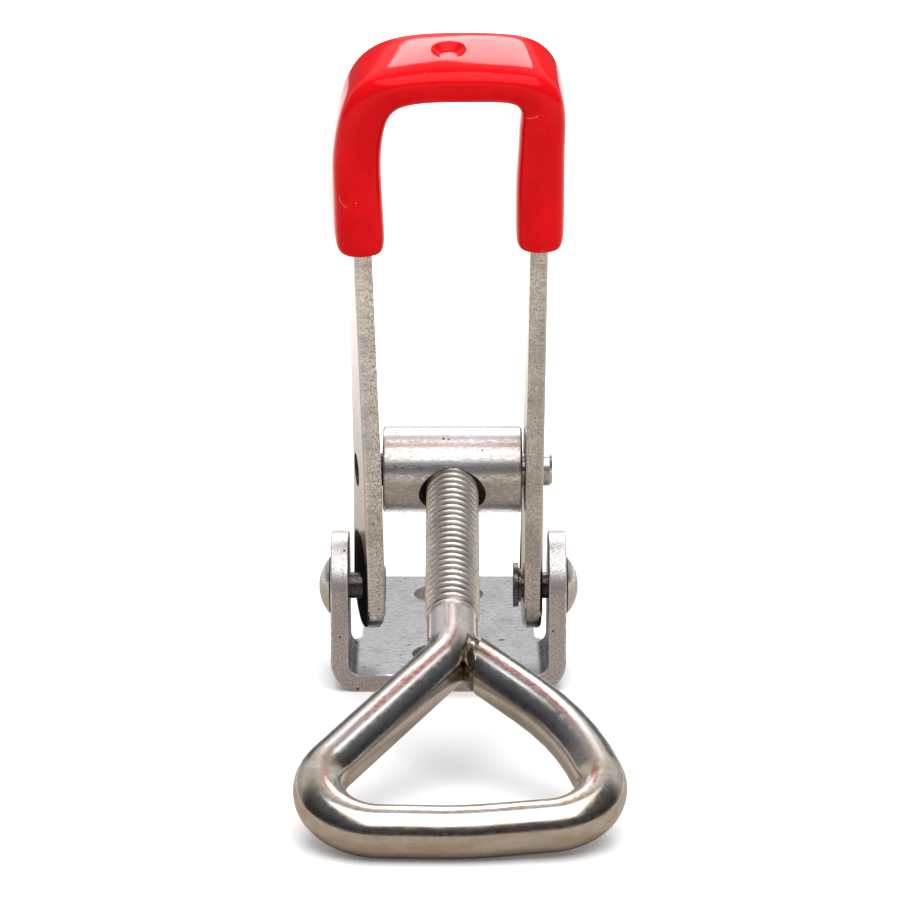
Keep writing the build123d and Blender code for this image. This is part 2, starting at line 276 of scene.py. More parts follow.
def node_value(material, kind, operation, *values):
    """Adds a Math, Vector Math or Map Range node; each value is a socket or a plain number."""
    nodes, links = material.node_tree.nodes, material.node_tree.links
    node = nodes.new(kind)
    if kind == "ShaderNodeMapRange":
        node.interpolation_type = operation
    else:
        node.operation = operation
    for socket, value in zip(node.inputs, values):
        if isinstance(value, bpy.types.NodeSocket):
            links.new(value, socket)
        else:
            socket.default_value = value
    return node.outputs["Value"] if operation in ("DOT_PRODUCT", "LENGTH", "DISTANCE") else node.outputs[0]


def math_of(material, operation, *values):
    """Works with numbers."""
    return node_value(material, "ShaderNodeMath", operation, *values)


def vector_of(material, operation, *values):
    """Works with places and directions."""
    return node_value(material, "ShaderNodeVectorMath", operation, *values)


def split_place(material, place):
    """A place's X, Y and Z."""
    split = material.node_tree.nodes.new("ShaderNodeSeparateXYZ")
    material.node_tree.links.new(place, split.inputs["Vector"])
    return split.outputs


def spread(material, value, low, high, low_out=0.0, high_out=1.0):
    """Stretches the part of a value between two levels over another range, smoothly."""
    return node_value(material, "ShaderNodeMapRange", "SMOOTHSTEP", value, low, high, low_out, high_out)


def mix_colour(material, factor, first, second):
    """Mixes two colours, each a socket or a plain colour, by a factor socket."""
    mix = material.node_tree.nodes.new("ShaderNodeMix")
    mix.data_type = "RGBA"
    material.node_tree.links.new(factor, mix.inputs["Factor"])
    for name, colour in (("A", first), ("B", second)):
        if isinstance(colour, tuple):
            mix.inputs[name].default_value = (*colour, 1)
        else:
            material.node_tree.links.new(colour, mix.inputs[name])
    return mix.outputs["Result"]


def place_of(material):
    return material.node_tree.nodes.new("ShaderNodeTexCoord").outputs["Object"]


def noise(material, place, per_mm, detail=4.0, stretch=(1, 1, 1)):
    """Cloudy noise with so many clouds to the millimetre, drawn out along an axis by a stretch."""
    nodes, links = material.node_tree.nodes, material.node_tree.links
    mapping = nodes.new("ShaderNodeMapping")
    mapping.inputs["Scale"].default_value = [per_mm / mm * s for s in stretch]
    links.new(place, mapping.inputs["Vector"])
    cloud = nodes.new("ShaderNodeTexNoise")
    cloud.inputs["Scale"].default_value = 1.0
    cloud.inputs["Detail"].default_value = detail
    cloud.inputs["Roughness"].default_value = 0.6
    links.new(mapping.outputs["Vector"], cloud.inputs["Vector"])
    return cloud.outputs["Fac"]


def pits(material, place, per_mm, share, size):
    """Small round marks: 1 in a mark and 0 round it, in a share of the cells of a Voronoi net."""
    nodes, links = material.node_tree.nodes, material.node_tree.links
    cells = nodes.new("ShaderNodeTexVoronoi")
    cells.inputs["Scale"].default_value = per_mm / mm
    links.new(place, cells.inputs["Vector"])
    wanted = math_of(material, "LESS_THAN", cells.outputs["Color"], share)
    near = spread(material, cells.outputs["Distance"], size * 0.5, size, 1.0, 0.0)
    return math_of(material, "MULTIPLY", near, wanted)


def shaded(name, metallic=1.0):
    """A new material with its shader, ready for colour, roughness and relief."""
    material = bpy.data.materials.new(name)
    material.use_nodes = True
    material.node_tree.nodes["Principled BSDF"].inputs["Metallic"].default_value = metallic
    return material


def surface(material, colour, roughness, height, depth):
    """Links a colour, a roughness and a relief, so many millimetres deep, to a material's shader."""
    nodes, links = material.node_tree.nodes, material.node_tree.links
    shader = nodes["Principled BSDF"]
    links.new(colour, shader.inputs["Base Color"])
    links.new(roughness, shader.inputs["Roughness"])
    relief = nodes.new("ShaderNodeBump")
    relief.inputs["Strength"].default_value = 1.0
    relief.inputs["Distance"].default_value = depth * mm
    links.new(height, relief.inputs["Height"])
    links.new(relief.outputs["Normal"], shader.inputs["Normal"])


def toned(colour, share):
    """A colour made darker or lighter."""
    return tuple(c * share for c in colour)


def tint_of(material):
    """What colours a material so far."""
    return material.node_tree.nodes["Principled BSDF"].inputs["Base Color"].links[0].from_socket


def recolour(material, tint):
    shader = material.node_tree.nodes["Principled BSDF"]
    material.node_tree.links.new(tint, shader.inputs["Base Color"])


def steel(
    name, colour, shine, grain, contrast, depth, stretch=(1, 1, 1), pit_share=0.12, stain=0.25, metal=1.0
):
    """Bare stainless: a speckled grain, broad dull stains, and a few small dark pits."""
    material = shaded(name, metal)
    place = place_of(material)
    speckle = noise(material, place, grain, 3.0, stretch)
    fleck = spread(material, speckle, 0.32, 0.68)
    light = tuple(min(1, c) for c in toned(colour, 1 + 0.5 * contrast))
    tint = mix_colour(material, fleck, toned(colour, 1 - contrast), light)
    clouds = spread(material, noise(material, place, 0.28, 4.0), 0.45, 0.72, 0.0, stain)
    dull = tuple(c * share for c, share in zip(colour, (0.62, 0.58, 0.52)))
    tint = mix_colour(material, clouds, tint, dull)
    holes = pits(material, place, 0.8, pit_share, 0.16)
    tint = mix_colour(material, holes, tint, (0.03, 0.027, 0.025))
    polish = spread(material, speckle, 0.3, 0.7, shine * 1.35, shine * 0.8)
    height = math_of(material, "SUBTRACT", speckle, holes)
    surface(material, tint, polish, height, depth)
    return material


# Dents in the floor: X, Y and size
dents = [(6.2, -6.7, 0.5), (-4.6, -8.7, 0.3), (-5.5, -12.5, 0.3), (-9.6, -17.0, 0.3)]


def dented_sheet():
    """The sheet's rolled faces: satin, with painted shade on the insides of the ears and channel walls,
    and four dents in the floor.
    """
    material = steel(
        "rolled_sheet",
        (0.455, 0.447, 0.452),
        shine=0.27,
        grain=3.0,
        contrast=0.08,
        depth=0.002,
        stretch=(0.35, 1, 1),
        pit_share=0.2,
        stain=0.5,
    )
    place = place_of(material)
    axes = split_place(material, place)
    sideways = math_of(material, "ABSOLUTE", axes["X"])
    ragged = math_of(material, "MULTIPLY_ADD", noise(material, place, 0.5), 1.6 * mm, sideways)
    masks = [
        spread(material, axes["Z"], 10.0 * mm, 16.0 * mm, 1.0, 0.3),
        spread(material, sideways, 11.4 * mm, 11.6 * mm, 1.0, 0.0),
        spread(material, axes["Z"], 1.5 * mm, 1.9 * mm),
    ]
    # Painted shade: the inner faces of the ears and channel walls, above the floor, go dark blue-grey,
    # less so above 10 mm.
    shade = spread(material, ragged, 10.9 * mm, 12.0 * mm, 0.0, 0.85)
    for mask in masks:
        shade = math_of(material, "MULTIPLY", shade, mask)
    tint = mix_colour(material, shade, tint_of(material), (0.17, 0.175, 0.19))
    for dent_x, dent_y, size in dents:
        apart = vector_of(material, "DISTANCE", place, (dent_x * mm, dent_y * mm, sheet * mm))
        dent = spread(material, apart, 0.5 * size * mm, size * mm, 0.9, 0.0)
        tint = mix_colour(material, dent, tint, (0.02, 0.018, 0.016))
    recolour(material, tint)
    return material


rolled_sheet = dented_sheet()
sheared_rim = steel(
    "sheared_rim",
    (0.62, 0.572, 0.557),
    shine=0.38,
    grain=5.0,
    contrast=0.34,
    depth=0.02,
    stretch=(1, 1, 0.8),
    pit_share=0.3,
    stain=0.3,
    metal=0.85,
)
# The rounded edges get a much lighter steel: partly burnished wear, partly a painted highlight.
worn_and_highlit_edge = steel("worn_and_highlit_edge", (0.84, 0.82, 0.80), shine=0.4, grain=2.0, contrast=0.25, depth=0.004)
finish_piece(bracket, "base_bracket", [rolled_sheet, sheared_rim, worn_and_highlit_edge], "base")


# ------------------------------------------------------------------ rivets
# Two turned stainless rivets.  Each has a low domed head outside its ear; the left one is
# clinched close to its leg, the right one ends in a wider flare on a short neck.
head_radius = 3.2
head_height = 1.45
head_rim = 0.25
shank_radius = 1.5
clinch_seat = -7.52
clinch_end = -7.17
clinch_radius = 2.2
neck_seat = 8.26
neck_end = 7.96
neck_radius = 1.95
flare_end = 7.36
flare_radius = 2.57


def turned(profile, centre, steps=64):
    """A body turned about an axis along X: a line of corners (x, radius) is spun once round."""
    deselect()
    bpy.ops.mesh.primitive_plane_add(size=1 * mm)
    piece = bpy.context.object
    edit(piece, "VERT")
    pick("VERT", lambda at, corner: corner.index > 0)
    bpy.ops.mesh.delete(type="VERT")
    corner = bmesh.from_edit_mesh(piece.data).verts[:][0]
    corner.select_set(True)
    first = Vector((profile[0][0], centre[1], centre[2] + profile[0][1])) * mm
    bpy.ops.transform.translate(value=first - corner.co)
    for (x0, r0), (x1, r1) in zip(profile, profile[1:]):
        step = ((x1 - x0) * mm, 0, (r1 - r0) * mm)
        bpy.ops.mesh.extrude_region_move(TRANSFORM_OT_translate={"value": step})
    bpy.ops.mesh.select_all(action="SELECT")
    bpy.ops.mesh.spin(steps=steps, angle=2 * math.pi, center=[c * mm for c in centre], axis=(1, 0, 0))
    bpy.ops.mesh.select_all(action="SELECT")
    bpy.ops.mesh.remove_doubles(threshold=0.000002)
    bpy.ops.mesh.normals_make_consistent(inside=False)
    leave()
    return piece


ball = (head_height**2 + head_radius**2) / (2 * head_height)


def dome(side):
    """The head's half outline, from its crown to its rim, ten steps of the same ball."""
    for step in range(11):
        out = head_radius * step / 10
        drop = ball - math.sqrt(ball**2 - out**2)
        rise = (head_height - head_rim) / head_height * (head_height - drop)
        yield side * (half_width + head_rim + rise), out
    yield side * half_width, head_radius - 0.1


left_profile = [
    *dome(-1),
    (-half_width, shank_radius),
    (clinch_seat, shank_radius),
    (clinch_seat, clinch_radius - 0.1),
    (clinch_seat + 0.07, clinch_radius),
    (clinch_end - 0.1, clinch_radius),
    (clinch_end, clinch_radius - 0.15),
    (clinch_end, 0),
]
right_profile = [
    *dome(1),
    (half_width, shank_radius),
    (neck_seat, shank_radius),
    (neck_seat, neck_radius),
    (neck_end, neck_radius),
    (neck_end, flare_radius - 0.12),
    (neck_end - 0.08, flare_radius),
    (flare_end + 0.1, flare_radius),
    (flare_end, flare_radius - 0.12),
    (flare_end, 0),
]
turned_rivet = steel(
    "turned_rivet", (0.62, 0.61, 0.59), shine=0.26, grain=3.0, contrast=0.12, depth=0.006
)
# The shank, clinch and flare are dark: partly the rivets' own dark oxide, partly painted shade in the gap
# between each ear and leg.
rivet_tail = steel("rivet_tail", (0.17, 0.16, 0.15), shine=0.36, grain=4.0, contrast=0.4, depth=0.02)
for name, profile in (("left_rivet", left_profile), ("right_rivet", right_profile)):
    rivet = turned(profile, pivot)
    add_slots(rivet, 2)
    edit(rivet)
    pick("FACE", lambda at, face: abs(at.x) < half_width + 0.14)
    paint(1)
    leave()
    finish_piece(rivet, name, [turned_rivet, rivet_tail], "base")


# ------------------------------------------------------------------ handle
# One strip of 2 mm stainless bent to a square-shouldered arch.  Its legs twist a little on their
# way down, the left one more, and are drilled for the rivets and for the barrel's pins.
strip = 2.0
strip_width = 9.7
rolled_corner = 0.4
torn_corner = 0.12
foot_corner = 0.45
lean = math.radians(10)
foot = -5.2
foot_room = 9.0
barrel_rise = 13.9
barrel_setback = 1.4
grip_foot = 43.0
arch_foot = 53.7
arch_top = 62.2
left_bend = 7.0
right_bend = 4.5
rivet_hole = 1.55
pin_hole = 1.9
# Along each leg: height above the pivot, place across, twist
left_leg = [(foot, -9.0, 10.5), (barrel_rise, -9.12, 9.0), (grip_foot, -9.8, 6.0), (arch_foot, -10.0, 0.0)]
right_leg = [(arch_foot, 9.95, 0.0), (grip_foot, 9.85, 0.0), (barrel_rise, 9.5, 1.0), (foot, 9.4, 2.2)]


def twist_end(degrees, axis, centre):
    """Turns what is selected about X, Y or Z through a place, by the right-hand rule."""
    place = Vector(centre) * mm
    bpy.ops.transform.rotate(value=-math.radians(degrees), orient_axis=axis, center_override=place)


def draw_leg(stations):
    """Draws the strip's open end on from one station to the next: height, place across, twist."""
    for (z0, x0, t0), (z1, x1, t1) in zip(stations, stations[1:]):
        step = Vector((x1 - x0, 0, z1 - z0)) * mm
        bpy.ops.mesh.extrude_region_move(TRANSFORM_OT_translate={"value": step})
        twist_end(t1 - t0, "Z", (x1, 0, z1))


def bend_end(radius, across):
    """Bends the strip's end over by a quarter turn, about a centre at a place across the arch."""
    centre = Vector((across, 0, arch_top - radius)) * mm
    bpy.ops.mesh.spin(steps=10, angle=-math.pi / 2, center=centre, axis=(0, 1, 0))


def lean_forward(piece):
    """Sets a piece drawn upright about the pivot in its place, leaning a little to the front."""
    piece.location = pivot * mm
    piece.rotation_euler = (lean, 0, 0)
    choose(piece)
    bpy.ops.object.transform_apply(location=True, rotation=True, scale=True)


handle = block((-strip / 2, -strip_width / 2, -1), (strip / 2, strip_width / 2, 0))
edit(handle)
pick("FACE", lambda at, face: face.normal.z < 0.5)
bpy.ops.mesh.delete(type="FACE")
pick("VERT", lambda at, corner: at.x < 0)
bpy.ops.mesh.bevel(offset=rolled_corner * mm, segments=4, affect="VERTICES")
pick("VERT", lambda at, corner: at.x > 0.5)
bpy.ops.mesh.bevel(offset=torn_corner * mm, segments=2, affect="VERTICES")
pick("FACE", lambda at, face: True)
height, across, twist = left_leg[0]
bpy.ops.transform.translate(value=(across * mm, 0, height * mm))
twist_end(twist, "Z", (across, 0, height))
x_left = left_leg[-1][1]
x_right = right_leg[0][1]
flat_top = x_right - x_left - left_bend - right_bend
draw_leg(left_leg + [(arch_top - left_bend, x_left, 0)])
bend_end(left_bend, x_left + left_bend)
bpy.ops.mesh.extrude_region_move(TRANSFORM_OT_translate={"value": (flat_top * mm, 0, 0)})
bend_end(right_bend, x_right - right_bend)
draw_leg([(arch_top - right_bend, x_right, 0)] + right_leg)
bpy.ops.mesh.select_all(action="SELECT")
bpy.ops.mesh.normals_make_consistent(inside=False)
leave()
foot_cut = block((-past_sides, -foot_room, -foot_room), (past_sides, foot_room, 0))
round_foot = rod(strip_width / 2, drill_length, (0, 0, 0), (0, math.pi / 2, 0), 96)
join_shapes(foot_cut, round_foot, "DIFFERENCE")
join_shapes(handle, foot_cut, "DIFFERENCE")
for height, setback, radius in ((0, 0, rivet_hole), (barrel_rise, barrel_setback, pin_hole)):
    drill = rod(radius, drill_length, (0, setback, height), (0, math.pi / 2, 0), 48)
    join_shapes(handle, drill, "DIFFERENCE")


def round_rim(at, edge):
    """An edge of the feet's round ends, between the rim and a face of the strip."""
    flatness = [abs(face.normal.x) for face in edge.link_faces]
    return at.z < -0.5 and len(flatness) == 2 and min(flatness) < 0.3 and max(flatness) > 0.9


def in_hole(at, face):
    """The wall of a rivet's or a pin's hole."""
    if math.hypot(at.y, at.z) < rivet_hole + 0.05:
        return True
    return math.hypot(at.y - barrel_setback, at.z - barrel_rise) < pin_hole + 0.05


add_slots(handle, 4)
edit(handle)
pick("EDGE", round_rim)
bpy.ops.mesh.bevel(offset=foot_corner * mm, segments=4, affect="EDGES")
for slot, side in ((1, -1), (2, 1)):
    pick("FACE", lambda at, face: abs(face.normal.x) < 0.5 and at.x * side > 0)
    paint(slot)
# The holes' walls take the near-black painted shade.
pick("FACE", in_hole)
paint(3)
leave()
lean_forward(handle)


def sheared_edge(name, colour, torn_side, foot_x, splay, chip):
    """The strip's sheared edge: finely striped next to one face, torn next to the other, and darkened near
    the foot with painted shade.
    """
    material = shaded(name, 0.85)
    place = place_of(material)
    stripes = noise(material, place, 3.2, 3.0, (0.25, 0.25, 1.3))
    speckle = noise(material, place, 5.5, 3.0)
    half_stripes = math_of(material, "MULTIPLY", stripes, 0.5)
    grain = math_of(material, "MULTIPLY_ADD", speckle, 0.5, half_stripes)
    fleck = spread(material, grain, 0.36, 0.64)
    light = tuple(min(1, c) for c in toned(colour, 1.18))
    tint = mix_colour(material, fleck, toned(colour, 0.62), light)
    towards_torn = (torn_side / mm, 0, -torn_side * splay / mm)
    across = vector_of(material, "DOT_PRODUCT", place, towards_torn)
    ragged = math_of(material, "MULTIPLY_ADD", noise(material, place, 1.1, 3.0), 1.3, across)
    torn = spread(material, ragged, torn_side * foot_x + 0.68, torn_side * foot_x + 0.9)
    crumbs = noise(material, place, 5.5, 4.0, (1.3, 1.3, 0.6))
    crumbly = spread(material, crumbs, 0.36, 0.62)
    chips = mix_colour(material, crumbly, toned(colour, chip), toned(colour, 1.2))
    tint = mix_colour(material, torn, tint, chips)
    clouds = spread(material, noise(material, place, 0.22, 3.0), 0.42, 0.7, 0.0, 0.45)
    tint = mix_colour(material, clouds, tint, toned(colour, 0.45))
    # Painted shade: below about 8 mm up, round the leg's foot, the edge turns almost black.
    height = vector_of(material, "DOT_PRODUCT", place, (0, 0, 1 / mm))
    ragged_height = math_of(material, "MULTIPLY_ADD", noise(material, place, 0.8), 0.8, height)
    painted_shade = spread(material, ragged_height, 7.7, 8.5, 0.95, 0.0)
    tint = mix_colour(material, painted_shade, tint, toned(colour, 0.10))
    rough = spread(material, grain, 0.3, 0.7, 0.5, 0.36)
    crumbled = math_of(material, "MULTIPLY", math_of(material, "MULTIPLY", crumbs, torn), 3.0)
    surface(material, tint, rough, math_of(material, "ADD", grain, crumbled), 0.03)
    return material


def strip_face():
    """The strip's rolled faces: bright, but near black and rougher with painted shade where a leg turns
    beside its ear.
    """
    material = steel("strip_faces", (0.62, 0.61, 0.60), shine=0.2, grain=3.0, contrast=0.08, depth=0.004)
    shader = material.node_tree.nodes["Principled BSDF"]
    place = place_of(material)
    # Painted shade: the legs' outer faces go near black within about 7 mm of the pivot, where the ear
    # shades them.
    from_pivot = vector_of(material, "SUBTRACT", place, tuple(pivot * mm))
    round_axis = vector_of(material, "MULTIPLY", from_pivot, (0, 1 / mm, 1 / mm))
    off_axis = vector_of(material, "LENGTH", round_axis)
    ragged = math_of(material, "MULTIPLY_ADD", noise(material, place, 0.8), 1.2, off_axis)
    sideways = math_of(material, "ABSOLUTE", split_place(material, from_pivot)["X"])
    outside = spread(material, sideways, 9.0 * mm, 9.3 * mm)
    painted_shade = math_of(material, "MULTIPLY", spread(material, ragged, 6.8, 7.4, 0.97, 0.0), outside)
    recolour(material, mix_colour(material, painted_shade, tint_of(material), (0.018, 0.016, 0.015)))
    polish = shader.inputs["Roughness"].links[0].from_socket
    dulled = math_of(material, "MULTIPLY_ADD", painted_shade, 0.45, polish)
    material.node_tree.links.new(dulled, shader.inputs["Roughness"])
    return material


strip_faces = strip_face()
left_edge = sheared_edge(
    "left_edge", (0.92, 0.865, 0.80), torn_side=1, foot_x=-8.02, splay=-0.0248, chip=0.45
)
right_edge = sheared_edge(
    "right_edge", (0.68, 0.635, 0.585), torn_side=-1, foot_x=9.55, splay=0.012, chip=0.65
)
# Painted shade: the walls of the handle's holes, and later the barrel's bore, mouth and left pin, are
# coloured near black for the shade inside them.
bore_painted_shade = steel("bore_painted_shade", (0.10, 0.085, 0.07), shine=0.4, grain=3.0, contrast=0.5, depth=0.02)
finish_piece(handle, "handle_frame", [strip_faces, left_edge, right_edge, bore_painted_shade], "handle")


# ------------------------------------------------------------------ grip
# Soft red vinyl, dipped over the handle's arch in one coat: it runs thick round the strip, rounds
# off in a lip on each leg, and sinks into a small dimple on top of the arch.
coat_depth = 12.6
# Along the strip: place across, height above the pivot, heading, thickness, depth, twist
coat_run = [
    (-9.90, 42.20, 0, 3.6, 10.6, 6.0),
    (-9.93, 42.50, 0, 4.9, 11.9, 6.0),
    (-9.98, 43.6, 0, 5.5, 12.4, 6.0),
    (-10.08, 46.5, 0, 5.45, coat_depth, 5.5),
    (-10.12, 50.0, 0, 5.35, coat_depth, 4.5),
    (-10.06, 53.0, 3, 5.3, coat_depth, 2.0),
    (-9.57, 56.0, 12, 5.2, coat_depth, 0.0),
    (-8.95, 58.5, 26, 5.2, coat_depth, 0.0),
    (-7.75, 60.45, 46, 5.3, coat_depth, 0.0),
    (-5.6, 61.65, 70, 5.1, coat_depth, 0.0),
    (-1.95, 62.11, 84, 4.94, coat_depth, 0.0),
    (2.0, 62.11, 90, 5.03, coat_depth, 0.0),
    (5.6, 62.1, 92, 4.85, coat_depth, 0.0),
    (8.35, 61.75, 112, 5.1, coat_depth, 0.0),
    (9.8, 60.2, 138, 5.4, coat_depth, 0.0),
    (10.15, 57.7, 166, 5.3, coat_depth, 0.0),
    (10.02, 54.5, 178, 5.0, coat_depth, 0.0),
    (9.90, 50.5, 180, 5.35, coat_depth, 0.0),
    (9.92, 46.5, 180, 5.3, coat_depth, 0.0),
    (9.90, 44.1, 180, 5.3, 12.4, 0.0),
    (9.90, 43.0, 180, 4.8, 11.8, 0.0),
    (9.9, 42.7, 180, 3.6, 10.6, 0.0),
]
coat_corner = 1.6
row_spread = 1.65
over_arch = arch_top + 0.7
# The coat's top sags towards the front, row by row: from Y, to Y, and how far
sags = [(-7, -3.9, 1.0), (-3.9, -1, 0.6), (1, 3.9, 0.1)]
# The dimple lies a little to the front and to the right, and is a little wider than it is long
dimple_forward = 0.4
dimple_right = 0.15
dimple_rim = 0.12
dimple_stretch = (1.06, 0.92, 1)
# Then, ring by ring: how much narrower, and how much deeper
dimple_rings = [(0.3, 0.25), (0.45, 0.3), (0.45, 0.15), (0.35, 0.0)]


def shape_end(station, was):
    """Gives the coat's open end the thickness, depth, twist and heading of its next station."""
    x, z, heading, thick, deep, twist = station
    old_x, old_z, old_heading, old_thick, old_deep, old_twist = was
    centre = Vector((x, 0, z)) * mm
    bpy.ops.transform.translate(value=Vector((x - old_x, 0, z - old_z)) * mm)
    twist_end(-old_heading, "Y", (x, 0, z))
    twist_end(-old_twist, "Z", (x, 0, z))
    bpy.ops.transform.resize(value=(thick / old_thick, deep / old_deep, 1), center_override=centre)
    twist_end(twist, "Z", (x, 0, z))
    twist_end(heading, "Y", (x, 0, z))


grip = block((-2, -coat_depth / 2, -1), (2, coat_depth / 2, 0))
edit(grip)
pick("FACE", lambda at, face: face.normal.z < 0.5)
bpy.ops.mesh.delete(type="FACE")
pick("VERT", lambda at, corner: True)
bpy.ops.mesh.bevel(offset=coat_corner * mm, segments=2, affect="VERTICES")
pick("EDGE", lambda at, edge: along(edge, 1))
bpy.ops.mesh.subdivide(number_cuts=2)
# The two inner rows of corners move out, so that the coat stays flat between them
pick("VERT", lambda at, corner: abs(at.y) < coat_depth / 5)
bpy.ops.transform.resize(value=(1, row_spread, 1), center_override=(0, 0, 0))
pick("FACE", lambda at, face: True)
drawn = (0, 0, 0, 4.0, coat_depth, 0)
shape_end(coat_run[0], drawn)
for was, station in zip(coat_run, coat_run[1:]):
    bpy.ops.mesh.extrude_region_move(TRANSFORM_OT_translate={"value": (0, 0, 0)})
    shape_end(station, was)
for near, far, sag in sags:
    pick("VERT", lambda at, corner: near < at.y < far and at.z > over_arch)
    bpy.ops.transform.translate(value=(0, 0, -sag * mm))
pick("FACE", lambda at, face: max(abs(at.x - 0.1), abs(at.y)) < 0.3 and at.z > over_arch)
bpy.ops.transform.translate(value=(0, -dimple_forward * mm, 0))
bpy.ops.mesh.inset(thickness=dimple_rim * mm)
bpy.ops.transform.translate(value=(dimple_right * mm, 0, 0))
bpy.ops.transform.resize(value=dimple_stretch)
for ring, drop in dimple_rings:
    bpy.ops.mesh.inset(thickness=ring * mm)
    bpy.ops.transform.translate(value=(0, 0, -drop * mm))
leave()
grip_softener = grip.modifiers.new("soften", "SUBSURF")
grip_softener.levels = 3
grip_softener.render_levels = 3
choose(grip)
bpy.ops.object.modifier_apply(modifier=grip_softener.name)
lean_forward(grip)
choose(handle)
bpy.ops.object.duplicate()
join_shapes(grip, bpy.context.object, "DIFFERENCE")


# Fibres caught in the coat: a place on the skin, the middle of the fibre's arc and its radius
fibres = [
    ((-6.2, -30.3, 72.2), (-5.2, -30.3, 70.6), 1.9),
    ((-11.5, -28.2, 57.8), (-10.2, -28.2, 58.7), 1.6),
    ((8.8, -29.9, 67.3), (8.3, -29.9, 69.5), 2.3),
]


def red_vinyl():
    """Glossy red vinyl: a deep red that drifts a little, soft waves, and dust and fibres in its skin."""
    material = shaded("red_vinyl", 0.0)
    material.node_tree.nodes["Principled BSDF"].inputs["IOR"].default_value = 1.18
    place = place_of(material)
    drift = noise(material, place, 0.16, 3.0)
    patchy = spread(material, drift, 0.35, 0.65)
    skin = mix_colour(material, patchy, (0.69, 0.0042, 0.0075), (0.80, 0.0055, 0.009))
    smudge = spread(material, noise(material, place, 0.4, 4.0), 0.60, 0.78, 0.0, 0.30)
    skin = mix_colour(material, smudge, skin, (0.42, 0.012, 0.016))
    dust = pits(material, place, 0.7, 0.16, 0.07)
    skin = mix_colour(material, dust, skin, (0.75, 0.25, 0.22))
    for spot, middle, radius in fibres:
        from_spot = vector_of(material, "DISTANCE", place, tuple(Vector(spot) * mm))
        from_middle = vector_of(material, "DISTANCE", place, tuple(Vector(middle) * mm))
        off_arc = math_of(material, "ABSOLUTE", math_of(material, "SUBTRACT", from_middle, radius * mm))
        fibre = spread(material, off_arc, 0.03 * mm, 0.09 * mm, 0.45, 0.0)
        near_spot = spread(material, from_spot, 0.6 * mm, 1.0 * mm, 1.0, 0.0)
        fibre = math_of(material, "MULTIPLY", fibre, near_spot)
        skin = mix_colour(material, fibre, skin, (0.80, 0.22, 0.18))
    gloss = spread(material, drift, 0.3, 0.7, 0.10, 0.05)
    specks = math_of(material, "MULTIPLY", dust, 0.15)
    waves = math_of(material, "ADD", noise(material, place, 0.16, 0.0), specks)
    surface(material, skin, gloss, waves, 0.06)
    return material


finish_piece(grip, "handle_grip", [red_vinyl()], "handle", smooth=60)


# ------------------------------------------------------------------ cross barrel
# A bar of stainless turned down to a pin at each end.  It swings between the handle's legs, and
# is bored across for the hook's shank, with a countersunk mouth at the front.
barrel_centre = pivot + Matrix.Rotation(lean, 3, "X") @ Vector((0, barrel_setback, barrel_rise))
barrel_radius = 4.9
barrel_left = -7.39
barrel_right = 8.26
left_pin_end = -9.95
right_pin_end = 11.68
pin_radius = 1.85
pin_chamfer = 0.3
end_round = 0.35
shank_x = 0.431
droop = math.radians(20.717)
bore_radius = 3.0
bore_drill = 20.0
mouth_radius = 3.75
mouth_depth = 0.9
mouth_cutter = 2.0
shank_forward = Vector((0, -math.cos(droop), -math.sin(droop)))
shank_centre = Vector((shank_x, barrel_centre.y, barrel_centre.z))
along_shank = (math.pi / 2 + droop, 0, 0)

barrel_profile = [
    (left_pin_end, 0),
    (left_pin_end, pin_radius - pin_chamfer),
    (left_pin_end + pin_chamfer, pin_radius),
    (barrel_left, pin_radius),
    (barrel_left, barrel_radius - end_round),
    (barrel_left + 0.1, barrel_radius - 0.12),
    (barrel_left + end_round, barrel_radius),
    (barrel_right - end_round, barrel_radius),
    (barrel_right - 0.1, barrel_radius - 0.12),
    (barrel_right, barrel_radius - end_round),
    (barrel_right, pin_radius),
    (right_pin_end - pin_chamfer, pin_radius),
    (right_pin_end, pin_radius - pin_chamfer),
    (right_pin_end, 0),
]
barrel = turned(barrel_profile, barrel_centre, 128)
join_shapes(barrel, rod(bore_radius, bore_drill, shank_centre, along_shank, 64), "DIFFERENCE")
mouth_slope = (mouth_radius - bore_radius) / mouth_depth
cutter_middle = barrel_radius - mouth_depth + mouth_cutter / 2
deselect()
bpy.ops.mesh.primitive_cone_add(
    vertices=64,
    radius1=bore_radius * mm,
    radius2=(bore_radius + mouth_cutter * mouth_slope) * mm,
    depth=mouth_cutter * mm,
    location=(shank_centre + shank_forward * cutter_middle) * mm,
    rotation=along_shank,
)
mouth = bpy.context.object
bpy.ops.object.transform_apply(location=True, rotation=True, scale=True)
join_shapes(barrel, mouth, "DIFFERENCE")
turned_barrel = steel(
    "turned_barrel",
    (0.63, 0.61, 0.59),
    shine=0.32,
    grain=5.0,
    contrast=0.26,
    depth=0.007,
    stretch=(0.35, 1, 1),
    pit_share=0.25,
    stain=0.3,
)


def in_bore(at, face):
    """A face of the bore or its mouth: one that looks in at the shank's axis from near by."""
    off_centre = at - shank_centre
    spoke = off_centre - off_centre.dot(shank_forward) * shank_forward
    return spoke.length < mouth_radius + nearly and face.normal.dot(spoke) < -0.5


add_slots(barrel, 2)
edit(barrel)
# The bore, its mouth and the left pin take the near-black painted shade.
pick("FACE", lambda at, face: in_bore(at, face) or at.x < barrel_left - 0.05)
paint(1)
leave()
finish_piece(barrel, "cross_barrel", [turned_barrel, bore_painted_shade], "barrel")


